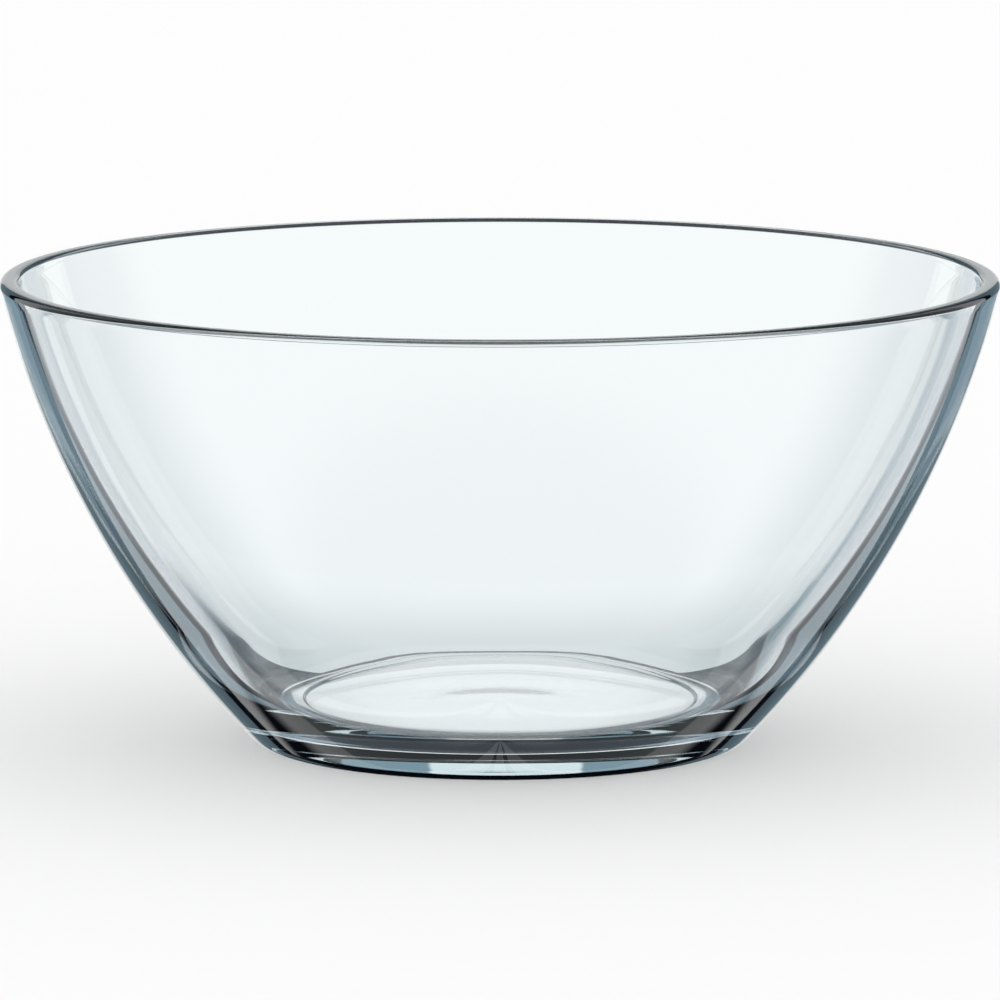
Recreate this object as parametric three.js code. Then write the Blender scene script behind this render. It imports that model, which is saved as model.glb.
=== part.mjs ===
// Round glass bowl pressed in one piece. A body of revolution about +Z that stands on z = 0.
import * as THREE from "three";

// Outside, in millimetres
const RIM_DIAMETER = 170;
const HEIGHT = 80;
const FOOT_DIAMETER = 82.8;
const WALL_BULGE = 5.9;
const HEEL_SIZE = 1.6;

// Glass thickness and inside, in millimetres
const RIM_THICKNESS = 3.3;
const RIM_FLAT_WIDTH = 0.9;
const HAUNCH_HEIGHT = 22;
const HAUNCH_THICKNESS = 4.4;
const INNER_BULGE = 3.0;
const BASE_THICKNESS = 6.3;
const FLOOR_DIAMETER = 69.2;
const FLOOR_STEP = 0.3;
const FLOOR_STEP_WIDTH = 0.9;

// How closely the haunch hugs its corner: 0 is a straight chamfer, 1 a sharp corner
const HAUNCH_FULLNESS = 0.8;

// Underside, in millimetres
const RECESS_DIAMETER = 44;
const RECESS_DEPTH = 0.25;
const RECESS_SLOPE_WIDTH = 6;

// Rounding of the rim's two edges, in millimetres
const RIM_EDGE_RADIUS = (RIM_THICKNESS - RIM_FLAT_WIDTH) / 2;

// Steps around the bowl and along each curve of the profile
const TURN_STEPS = 96;
const WALL_STEPS = 14;
const INNER_WALL_STEPS = 10;
const HAUNCH_STEPS = 10;
const RIM_STEPS = 4;
const HEEL_STEPS = 3;

// Profile points: x is the distance from the axis, y the height
function point(radius, height) {
  return new THREE.Vector2(radius, height);
}

// Circular arc from the first point to the second, swelling outward by the bulge
function bulgedArc(from, to, bulge) {
  const chord = to.clone().sub(from);
  const radius = (chord.lengthSq() / 4 + bulge * bulge) / (2 * bulge);
  const outward = point(-chord.y, chord.x).normalize();
  const middle = from.clone().add(to).multiplyScalar(0.5);
  const centre = middle.addScaledVector(outward, bulge - radius);
  const start = from.clone().sub(centre).angle();
  const end = to.clone().sub(centre).angle();
  const sweep = Math.atan2(Math.sin(end - start), Math.cos(end - start));
  return new THREE.ArcCurve(centre.x, centre.y, radius, start, start + sweep, sweep < 0);
}

// Point inside the outer wall, measured square to the wall at the haunch
function haunchPoint(wall) {
  const turn = Math.asin((HAUNCH_HEIGHT - wall.aY) / wall.xRadius);
  const reach = wall.xRadius - HAUNCH_THICKNESS;
  return point(wall.aX + reach * Math.cos(turn), wall.aY + reach * Math.sin(turn));
}

// Outer wall, from the rim's outer edge to the sharp corner it makes with the table
function outerWall() {
  const rimEdge = point(RIM_DIAMETER / 2, HEIGHT - RIM_EDGE_RADIUS);
  const footCorner = point(FOOT_DIAMETER / 2, 0);
  return bulgedArc(rimEdge, footCorner, WALL_BULGE);
}

// Inner wall, from the rim's inner edge down to the haunch
function innerWall(wall) {
  const rimEdge = point(RIM_DIAMETER / 2 - RIM_THICKNESS, HEIGHT - RIM_EDGE_RADIUS);
  return bulgedArc(rimEdge, haunchPoint(wall), INNER_BULGE);
}

// Flat underside with a shallow round recess in its middle
function undersidePoints() {
  const edge = RECESS_DIAMETER / 2;
  return [point(0, RECESS_DEPTH), point(edge - RECESS_SLOPE_WIDTH, RECESS_DEPTH), point(edge, 0)];
}

// Rounded heel off the table, then up the outer wall
function outerPoints(wall) {
  const heelShare = HEEL_SIZE / wall.getLength();
  const footCorner = wall.getPoint(1);
  const heelStart = point(footCorner.x - HEEL_SIZE, 0);
  const heel = new THREE.QuadraticBezierCurve(heelStart, footCorner, wall.getPoint(1 - heelShare));
  const points = heel.getPoints(HEEL_STEPS);
  for (let step = 1; step <= WALL_STEPS; step += 1) {
    points.push(wall.getPoint((1 - heelShare) * (1 - step / WALL_STEPS)));
  }
  return points;
}

// Rounded outer edge of the rim, its narrow flat top, then its rounded inner edge
function rimPoints() {
  const level = HEIGHT - RIM_EDGE_RADIUS;
  const outerX = RIM_DIAMETER / 2 - RIM_EDGE_RADIUS;
  const innerX = outerX - RIM_FLAT_WIDTH;
  const outerEdge = new THREE.ArcCurve(outerX, level, RIM_EDGE_RADIUS, 0, Math.PI / 2, false);
  const innerEdge = new THREE.ArcCurve(innerX, level, RIM_EDGE_RADIUS, Math.PI / 2, Math.PI, false);
  return [...outerEdge.getPoints(RIM_STEPS), ...innerEdge.getPoints(RIM_STEPS)];
}

// Full curve from the inner wall down to the floor's edge
function haunchPoints(inner) {
  const top = inner.getPoint(1);
  const along = inner.getTangent(1);
  const corner = top.clone().addScaledVector(along, (BASE_THICKNESS - top.y) / along.y);
  const floorEdge = point(FLOOR_DIAMETER / 2, BASE_THICKNESS);
  const curve = new THREE.CubicBezierCurve(
    top,
    top.clone().lerp(corner, HAUNCH_FULLNESS),
    floorEdge.clone().lerp(corner, HAUNCH_FULLNESS),
    floorEdge,
  );
  return curve.getPoints(HAUNCH_STEPS);
}

// Floor disc, set a little lower than the curve that runs down to it
function floorPoints() {
  const level = BASE_THICKNESS - FLOOR_STEP;
  return [point(FLOOR_DIAMETER / 2 - FLOOR_STEP_WIDTH, level), point(0, level)];
}

// Whole profile, from the axis underneath, up the outside, over the rim and down to the axis inside
function bowlProfile() {
  const wall = outerWall();
  const inner = innerWall(wall);
  return [
    ...undersidePoints(),
    ...outerPoints(wall),
    ...rimPoints().slice(1),
    ...inner.getPoints(INNER_WALL_STEPS).slice(1),
    ...haunchPoints(inner).slice(1),
    ...floorPoints(),
  ];
}

function glassMaterial() {
  return new THREE.MeshStandardMaterial({ color: 0xdcebec, roughness: 0.03, metalness: 0 });
}

function bowl() {
  const geometry = new THREE.LatheGeometry(bowlProfile(), TURN_STEPS);
  geometry.rotateX(Math.PI / 2);
  const mesh = new THREE.Mesh(geometry, glassMaterial());
  mesh.name = "bowl";
  return mesh;
}

const group = new THREE.Group();
group.name = "glass_bowl";
group.add(bowl());

export default group;
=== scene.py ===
"""Clear pressed-glass bowl on a pale floor, in a bright soft studio."""
import math

import bmesh
import bpy
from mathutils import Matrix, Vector
from mathutils.geometry import interpolate_bezier


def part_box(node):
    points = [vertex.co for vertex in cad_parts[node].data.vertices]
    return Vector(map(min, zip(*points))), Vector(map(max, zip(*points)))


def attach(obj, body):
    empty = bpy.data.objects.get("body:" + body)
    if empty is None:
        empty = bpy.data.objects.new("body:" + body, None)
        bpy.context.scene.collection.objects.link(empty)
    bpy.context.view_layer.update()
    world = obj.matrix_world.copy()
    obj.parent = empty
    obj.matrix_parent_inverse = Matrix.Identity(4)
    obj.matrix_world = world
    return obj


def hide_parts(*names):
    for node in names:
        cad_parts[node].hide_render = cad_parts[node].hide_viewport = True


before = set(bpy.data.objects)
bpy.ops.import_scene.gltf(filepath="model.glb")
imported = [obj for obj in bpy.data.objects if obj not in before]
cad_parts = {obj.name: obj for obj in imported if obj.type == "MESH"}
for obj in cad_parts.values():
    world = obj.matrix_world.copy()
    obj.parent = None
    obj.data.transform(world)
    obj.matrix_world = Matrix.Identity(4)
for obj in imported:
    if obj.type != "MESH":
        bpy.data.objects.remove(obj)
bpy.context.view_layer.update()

# Outside of the bowl in millimetres. The rim and the height are read from the frame
BOWL_LOW, BOWL_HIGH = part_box("bowl")
RIM_RADIUS = 1000 * (BOWL_HIGH.x - BOWL_LOW.x) / 2
HEIGHT = 1000 * (BOWL_HIGH.z - BOWL_LOW.z)
FOOT_RADIUS = 41.4
WALL_BULGE = 5.9
HEEL_SIZE = 1.6

# Glass thickness and inside, in millimetres
RIM_THICKNESS = 3.3
RIM_FLAT_WIDTH = 0.9
RIM_EDGE_RADIUS = (RIM_THICKNESS - RIM_FLAT_WIDTH) / 2
HAUNCH_HEIGHT = 22.0
HAUNCH_THICKNESS = 4.4
HAUNCH_FULLNESS = 0.8
INNER_BULGE = 3.0
BASE_THICKNESS = 6.3
FLOOR_RADIUS = 34.6
FLOOR_STEP = 0.3
FLOOR_STEP_WIDTH = 0.9

# Underside, in millimetres
RECESS_RADIUS = 22.0
RECESS_DEPTH = 0.08
RECESS_SLOPE_WIDTH = 14.0

# Steps around the bowl
TURN_STEPS = 512

# Glass: refraction, and how fast it takes red, green and blue out of the light, per metre
GLASS_IOR = 1.52
GLASS_ABSORPTION = (3.4, 1.7, 1.3)

# Surface of the glass: most roughness of its haze, height of its waves in metres, and how fine they are
GLASS_ROUGHNESS = 0.012
HAZE_SCALE = 30.0
WAVE_HEIGHT = 0.00003
WAVE_SCALE = 45.0

# Floor: how pale it is, its half width, and how far it and the sheet lie under the foot, in metres
FLOOR_SHADE = 0.9
FLOOR_REACH = 40.0
FLOOR_DROP = 0.00005
SHEET_DROP = 0.00004

# Camera, in metres and millimetres
CAMERA_PLACE = (0.0, -1.7, 0.2932)
CAMERA_AIM = (0.0, 0.0, 0.04145)
CAMERA_LENS = 362.6

# Studio, in degrees round the bowl (0 azimuth is straight behind it) and above its level
BACKDROP_LEFT = -12.3
BACKDROP_RIGHT = 10.5
FLAG_MIDDLE = 29.5
FLAG_HALF_WIDTH = 2.6
FLAG_LEAN = 0.35
FLAG_BEND = -17.0
FLAG_TOP = 58.0
CARD_END = 47.5
SIDE_END = 75.0
# Below BACKDROP_FOOT behind, and below GREY_FOOT within FOOT_END of straight behind, the glass sees
# painted shade of the floor under and round the foot, fading out below FOOT_FADE_END
BACKDROP_FOOT = -18.5
GREY_FOOT = -36.0
FOOT_END = 38.0
CEILING_EDGE = 42.0
BACKDROP_FADE_START = -8.0
FOOT_FADE_END = -76.0

# Light that the glass sees in each part of the studio, as red, green and blue
BACKDROP = (0.93, 0.97, 0.975)
BACKDROP_LOW = (0.89, 0.94, 0.945)
GREY = (0.23, 0.33, 0.39)
# DARK is the black of the flags, and also the painted shade of the floor under and round the foot
DARK = (0.012, 0.017, 0.026)
SIDE = (0.40, 0.46, 0.48)
SURROUND = (0.93, 0.95, 0.96)
CEILING = (0.30, 0.33, 0.35)
# Glowing sheet, far from the foot, and near it where painted shade darkens it
SHEET_FAR = (0.93, 0.975, 0.98)
SHEET_NEAR_PAINTED_SHADE = (0.68, 0.74, 0.75)
FLOOR_LIGHT = 1.095

# Glowing sheet that runs back from the bowl's foot, in millimetres and degrees. It lights nothing; the
# glass sees it as lit floor, with painted shade round it
SHEET_INNER_RADIUS = 41.8
SHEET_CORNER_TURN = 52.0
SHEET_HANDLES = ((44, 25), (54, 36))
SHEET_KNEE = (66, 60)
SHEET_END = (84, 125)
# Where the sheet's painted shade starts to lift towards its far end, in millimetres behind the axis
SHEET_FADE_START = 27


def bulged_arc(start, end, bulge, steps):
    """Points on the circular arc from start to end that swells out by bulge, away from the axis."""
    start = Vector(start)
    end = Vector(end)
    half_chord = (end - start).length / 2
    radius = (half_chord ** 2 + bulge ** 2) / (2 * bulge)
    along = (end - start).normalized()
    across = Vector((-along.y, along.x))
    if across.x > 0:
        across = -across
    centre = (start + end) / 2 + across * (radius - bulge)
    first = math.atan2(start.y - centre.y, start.x - centre.x)
    last = math.atan2(end.y - centre.y, end.x - centre.x)
    turns = [first + (last - first) * i / steps for i in range(steps + 1)]
    points = [centre + radius * Vector((math.cos(t), math.sin(t))) for t in turns]
    return points, centre, radius


def curve(corner_a, handle_a, handle_b, corner_b, steps):
    """Points of a cubic curve."""
    knots = [Vector((*p, 0)) for p in (corner_a, handle_a, handle_b, corner_b)]
    return [p.xy for p in interpolate_bezier(*knots, steps + 1)]


def soft_step(start, end, steps):
    """Points from start to end that leave and arrive level."""
    middle = (start[0] + end[0]) / 2
    return curve(start, (middle, start[1]), (middle, end[1]), end, steps)


def underside():
    """From the axis out to the heel."""
    inner_edge = RECESS_RADIUS - RECESS_SLOPE_WIDTH
    points = [Vector((inner_edge * i / 12, RECESS_DEPTH)) for i in range(12)]
    points += soft_step((inner_edge, RECESS_DEPTH), (RECESS_RADIUS, 0), 10)
    ring = FOOT_RADIUS - HEEL_SIZE - RECESS_RADIUS
    return points + [Vector((RECESS_RADIUS + ring * i / 8, 0)) for i in range(1, 8)]


def outer_wall():
    """The arc from the foot up to the widest point of the rim."""
    top = (RIM_RADIUS, HEIGHT - RIM_EDGE_RADIUS)
    return bulged_arc((FOOT_RADIUS, 0), top, WALL_BULGE, 72)


def heel_and_wall(wall):
    """The rounded heel, then the outside of the wall."""
    corner = wall[0]
    above = [p for p in wall if (p - corner).length > HEEL_SIZE]
    below = Vector((FOOT_RADIUS - HEEL_SIZE, 0))
    heel = curve(below, below.lerp(corner, 0.67), above[0].lerp(corner, 0.67), above[0], 14)
    return heel + above[1:]


def rim():
    """Rounded outer edge, narrow flat top and rounded inner edge, without the two ends."""
    outer = Vector((RIM_RADIUS - RIM_EDGE_RADIUS, HEIGHT - RIM_EDGE_RADIUS))
    inner = outer - Vector((RIM_FLAT_WIDTH, 0))
    turns = [math.pi / 2 * i / 14 for i in range(15)]
    arc = [RIM_EDGE_RADIUS * Vector((math.cos(t), math.sin(t))) for t in turns]
    back = [Vector((-p.x, p.y)) for p in reversed(arc)]
    return [outer + p for p in arc[1:]] + [inner + p for p in back[:-1]]


def inside(wall_centre, wall_radius):
    """Inner wall, haunch and floor, from the rim to the axis."""
    rise = HAUNCH_HEIGHT - wall_centre.y
    outer = Vector((wall_centre.x + math.sqrt(wall_radius ** 2 - rise ** 2), HAUNCH_HEIGHT))
    haunch_top = outer + (wall_centre - outer).normalized() * HAUNCH_THICKNESS
    rim_edge = (RIM_RADIUS - RIM_THICKNESS, HEIGHT - RIM_EDGE_RADIUS)
    wall, _, _ = bulged_arc(rim_edge, haunch_top, INNER_BULGE, 56)
    slope = (wall[-1] - wall[-2]).normalized()
    floor_edge = Vector((FLOOR_RADIUS, BASE_THICKNESS))
    corner = wall[-1] + slope * (floor_edge.y - wall[-1].y) / slope.y
    handles = (wall[-1].lerp(corner, HAUNCH_FULLNESS), floor_edge.lerp(corner, HAUNCH_FULLNESS))
    haunch = curve(wall[-1], *handles, floor_edge, 56)
    floor_start = FLOOR_RADIUS - FLOOR_STEP_WIDTH
    step = soft_step(floor_edge, (floor_start, BASE_THICKNESS - FLOOR_STEP), 10)
    floor = [Vector((floor_start * (1 - i / 16), BASE_THICKNESS - FLOOR_STEP)) for i in range(1, 17)]
    return wall + haunch[1:] + step[1:] + floor


def bowl_profile():
    """The closed outline of half the glass, from the axis underneath round to the axis inside."""
    wall, centre, radius = outer_wall()
    return underside() + heel_and_wall(wall) + rim() + inside(centre, radius)


def bowl_mesh():
    """The profile turned about the upright axis, in metres."""
    mesh = bmesh.new()
    rings = []
    for point in bowl_profile():
        if point.x < 1e-6:
            rings.append([mesh.verts.new((0, 0, point.y / 1000))])
            continue
        ring = []
        for i in range(TURN_STEPS):
            turn = 2 * math.pi * i / TURN_STEPS
            spot = (point.x * math.cos(turn), point.x * math.sin(turn), point.y)
            ring.append(mesh.verts.new([v / 1000 for v in spot]))
        rings.append(ring)
    for low, high in zip(rings, rings[1:]):
        for i in range(TURN_STEPS):
            j = (i + 1) % TURN_STEPS
            if len(low) == 1:
                mesh.faces.new((low[0], high[j], high[i]))
            elif len(high) == 1:
                mesh.faces.new((low[i], low[j], high[0]))
            else:
                mesh.faces.new((low[i], low[j], high[j], high[i]))
    for face in mesh.faces:
        face.smooth = True
    data = bpy.data.meshes.new("bowl_glass")
    mesh.to_mesh(data)
    mesh.free()
    return data


def wire(tree, kind, *inputs, **settings):
    """Adds a node, sets its options, and fills its inputs in order with numbers or other outputs."""
    node = tree.nodes.new(kind)
    for name, value in settings.items():
        setattr(node, name, value)
    for socket, value in zip(node.inputs, inputs):
        if isinstance(value, bpy.types.NodeSocket):
            tree.links.new(value, socket)
        else:
            socket.default_value = value
    return node


def maths(tree, operation, *inputs):
    return wire(tree, "ShaderNodeMath", *inputs, operation=operation).outputs[0]


def both(tree, first, second):
    """1 only where both are 1."""
    return maths(tree, "MULTIPLY", first, second)


def blend(tree, factor, first, second):
    """first where factor is 0, second where it is 1."""
    return maths(tree, "MULTIPLY_ADD", factor, maths(tree, "SUBTRACT", second, first), first)


def ramp(tree, value, start, end):
    """0 below start, 1 above end and smooth between, or the other way round where end is lower."""
    low, high = sorted((start, end))
    to_low, to_high = (0.0, 1.0) if end > start else (1.0, 0.0)
    node = wire(tree, "ShaderNodeMapRange", value, low, high, to_low, to_high,
                interpolation_type="SMOOTHSTEP")
    return node.outputs[0]


def glass_material():
    """Clear soda-lime glass, faintly blue-green, with the slight waviness of a pressed surface."""
    material = bpy.data.materials.new("clear_glass")
    material.use_nodes = True
    tree = material.node_tree
    shader = tree.nodes["Principled BSDF"]
    shader.inputs["Base Color"].default_value = (1, 1, 1, 1)
    shader.inputs["Transmission Weight"].default_value = 1.0
    shader.inputs["IOR"].default_value = GLASS_IOR
    place = tree.nodes.new("ShaderNodeTexCoord").outputs["Object"]
    haze = wire(tree, "ShaderNodeTexNoise", place)
    haze.inputs["Scale"].default_value = HAZE_SCALE
    haze.inputs["Detail"].default_value = 2.0
    rough = wire(tree, "ShaderNodeMapRange", haze.outputs[0], 0.3, 0.7, 0.0, GLASS_ROUGHNESS)
    tree.links.new(rough.outputs[0], shader.inputs["Roughness"])
    waves = wire(tree, "ShaderNodeTexNoise", place)
    waves.inputs["Scale"].default_value = WAVE_SCALE
    waves.inputs["Detail"].default_value = 1.0
    bump = tree.nodes.new("ShaderNodeBump")
    bump.inputs["Distance"].default_value = WAVE_HEIGHT
    tree.links.new(waves.outputs[0], bump.inputs["Height"])
    tree.links.new(bump.outputs[0], shader.inputs["Normal"])
    volume = tree.nodes.new("ShaderNodeVolumeAbsorption")
    strongest = max(GLASS_ABSORPTION)
    colour = [1 - a / strongest for a in GLASS_ABSORPTION]
    volume.inputs["Color"].default_value = (*colour, 1)
    volume.inputs["Density"].default_value = strongest
    tree.links.new(volume.outputs[0], tree.nodes["Material Output"].inputs["Volume"])
    return material


def bowl():
    """The glass that stands for the bowl's solid."""
    piece = bpy.data.objects.new("bowl_glass", bowl_mesh())
    bpy.context.scene.collection.objects.link(piece)
    piece.data.materials.append(glass_material())
    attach(piece, "root")
    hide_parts("bowl")


def floor_material():
    material = bpy.data.materials.new("pale_floor")
    material.use_nodes = True
    shader = material.node_tree.nodes["Principled BSDF"]
    shader.inputs["Base Color"].default_value = (FLOOR_SHADE, FLOOR_SHADE, FLOOR_SHADE, 1)
    shader.inputs["Roughness"].default_value = 1.0
    shader.inputs["Specular IOR Level"].default_value = 0.0
    return material


def floor():
    """A wide pale floor. The glass looks through it at the studio's own lower half."""
    data = bpy.data.meshes.new("floor")
    sides = [(-1, -1), (1, -1), (1, 1), (-1, 1)]
    corners = [(FLOOR_REACH * x, FLOOR_REACH * y, -FLOOR_DROP) for x, y in sides]
    data.from_pydata(corners, [], [(0, 1, 2, 3)])
    data.materials.append(floor_material())
    ground = bpy.data.objects.new("floor", data)
    bpy.context.scene.collection.objects.link(ground)
    ground.visible_glossy = False
    ground.visible_transmission = False


def sheet():
    """Glowing sheet on the floor behind the foot, which only the glass sees and which lights nothing.
    Painted shade darkens it towards the foot.
    """
    material = bpy.data.materials.new("glowing_sheet_painted_shade")
    material.use_nodes = True
    tree = material.node_tree
    place = wire(tree, "ShaderNodeSeparateXYZ", tree.nodes.new("ShaderNodeTexCoord").outputs["Object"])
    # Painted shade: the glow darkens from the far colour to the near one towards the foot
    back = ramp(tree, place.outputs[1], SHEET_FADE_START / 1000, SHEET_END[1] / 1000)
    shade = [blend(tree, back, near, far) for near, far in zip(SHEET_NEAR_PAINTED_SHADE, SHEET_FAR)]
    glow = wire(tree, "ShaderNodeEmission", wire(tree, "ShaderNodeCombineColor", *shade).outputs[0], 1.0)
    tree.links.new(glow.outputs[0], tree.nodes["Material Output"].inputs["Surface"])
    turns = [math.radians(SHEET_CORNER_TURN) * i / 24 for i in range(25)]
    edge = [SHEET_INNER_RADIUS * Vector((math.sin(t), math.cos(t))) for t in turns]
    edge += curve(edge[-1], *SHEET_HANDLES, SHEET_KNEE, 24)[1:] + [Vector(SHEET_END)]
    right = [(p.x / 1000, p.y / 1000, -SHEET_DROP) for p in edge]
    left = [(-x, y, z) for x, y, z in right[1:]]
    data = bpy.data.meshes.new("sheet")
    data.from_pydata(right + left[::-1], [], [tuple(range(len(right) + len(left)))])
    data.materials.append(material)
    piece = bpy.data.objects.new("sheet", data)
    bpy.context.scene.collection.objects.link(piece)
    piece.visible_camera = False
    piece.visible_diffuse = False
    piece.visible_shadow = False


def studio():
    """White all round under a grey ceiling, with a backdrop between grey sides and black flags, and
    painted shade on the floor under and round the foot, as the glass sees it.
    """
    world = bpy.data.worlds.new("studio")
    bpy.context.scene.world = world
    world.use_nodes = True
    tree = world.node_tree
    direction = wire(tree, "ShaderNodeSeparateXYZ",
                     tree.nodes.new("ShaderNodeTexCoord").outputs["Generated"])
    x, y, z = direction.outputs
    azimuth = maths(tree, "DEGREES", maths(tree, "ARCTAN2", x, y))
    elevation = maths(tree, "DEGREES", maths(tree, "ARCSINE", z))
    off_axis = maths(tree, "ABSOLUTE", azimuth)
    below_top = ramp(tree, elevation, FLAG_TOP + 4, FLAG_TOP - 4)
    on_backdrop = both(tree, ramp(tree, azimuth, BACKDROP_LEFT - 0.5, BACKDROP_LEFT + 0.5),
                       ramp(tree, azimuth, BACKDROP_RIGHT + 0.5, BACKDROP_RIGHT - 0.5))
    drop = maths(tree, "SUBTRACT", FLAG_BEND, maths(tree, "MAXIMUM", elevation, GREY_FOOT))
    drop = maths(tree, "MAXIMUM", drop, 0.0)
    middle = maths(tree, "MULTIPLY_ADD", drop, -FLAG_LEAN, FLAG_MIDDLE)
    past_flag = maths(tree, "SUBTRACT", off_axis, middle)
    on_flag = ramp(tree, maths(tree, "ABSOLUTE", past_flag), FLAG_HALF_WIDTH + 0.5, FLAG_HALF_WIDTH - 0.5)
    flag_height = both(tree, below_top, ramp(tree, elevation, GREY_FOOT - 4, GREY_FOOT))
    on_flag = both(tree, on_flag, flag_height)
    on_grey = both(tree, below_top, ramp(tree, past_flag, 0.5, -0.5))
    on_side = both(tree, ramp(tree, off_axis, CARD_END - 0.5, CARD_END + 0.5),
                   ramp(tree, off_axis, SIDE_END + 8, SIDE_END - 8))
    low = ramp(tree, elevation, BACKDROP_FADE_START, BACKDROP_FOOT - 6)
    # Painted shade: steeply down, and down below the backdrop, the glass sees the floor under and round
    # the foot as dark
    steep_painted_shade = both(tree, ramp(tree, off_axis, FOOT_END + 3, FOOT_END - 3),
                     ramp(tree, elevation, GREY_FOOT + 2, GREY_FOOT - 2))
    painted_shade_behind = both(tree, on_backdrop, ramp(tree, elevation, BACKDROP_FOOT + 1, BACKDROP_FOOT - 3))
    foot = maths(tree, "MAXIMUM", steep_painted_shade, painted_shade_behind)
    foot = both(tree, foot, ramp(tree, elevation, FOOT_FADE_END - 8, FOOT_FADE_END))
    overhead = ramp(tree, elevation, CEILING_EDGE - 8, CEILING_EDGE + 8)
    path = tree.nodes.new("ShaderNodeLightPath")
    in_glass = maths(tree, "MAXIMUM", path.outputs["Is Glossy Ray"], path.outputs["Is Transmission Ray"])
    seen = both(tree, in_glass, maths(tree, "LESS_THAN", path.outputs["Diffuse Depth"], 0.5))
    plain = blend(tree, path.outputs["Is Camera Ray"], FLOOR_LIGHT, 1.0)
    channels = []
    tones = zip(BACKDROP, BACKDROP_LOW, GREY, DARK, SIDE, SURROUND, CEILING)
    for high, lower, grey, dark, side, around, ceiling in tones:
        level = blend(tree, on_side, around, side)
        level = blend(tree, on_grey, level, grey)
        level = blend(tree, on_flag, level, dark)
        level = blend(tree, on_backdrop, level, blend(tree, low, high, lower))
        level = blend(tree, overhead, level, ceiling)
        # Painted shade on the floor under and round the foot
        level = blend(tree, foot, level, dark)
        channels.append(blend(tree, seen, plain, level))
    colour = wire(tree, "ShaderNodeCombineColor", *channels)
    tree.links.new(colour.outputs[0], tree.nodes["Background"].inputs["Color"])


def camera():
    data = bpy.data.cameras.new("camera")
    data.sensor_width = 36
    data.lens = CAMERA_LENS
    data.clip_end = 200
    eye = bpy.data.objects.new("camera", data)
    eye.location = CAMERA_PLACE
    eye.rotation_mode = "QUATERNION"
    eye.rotation_quaternion = (Vector(CAMERA_AIM) - Vector(CAMERA_PLACE)).to_track_quat("-Z", "Y")
    bpy.context.scene.collection.objects.link(eye)
    bpy.context.scene.camera = eye


bowl()
floor()
sheet()
studio()
camera()
bpy.context.scene.view_settings.view_transform = "Standard"
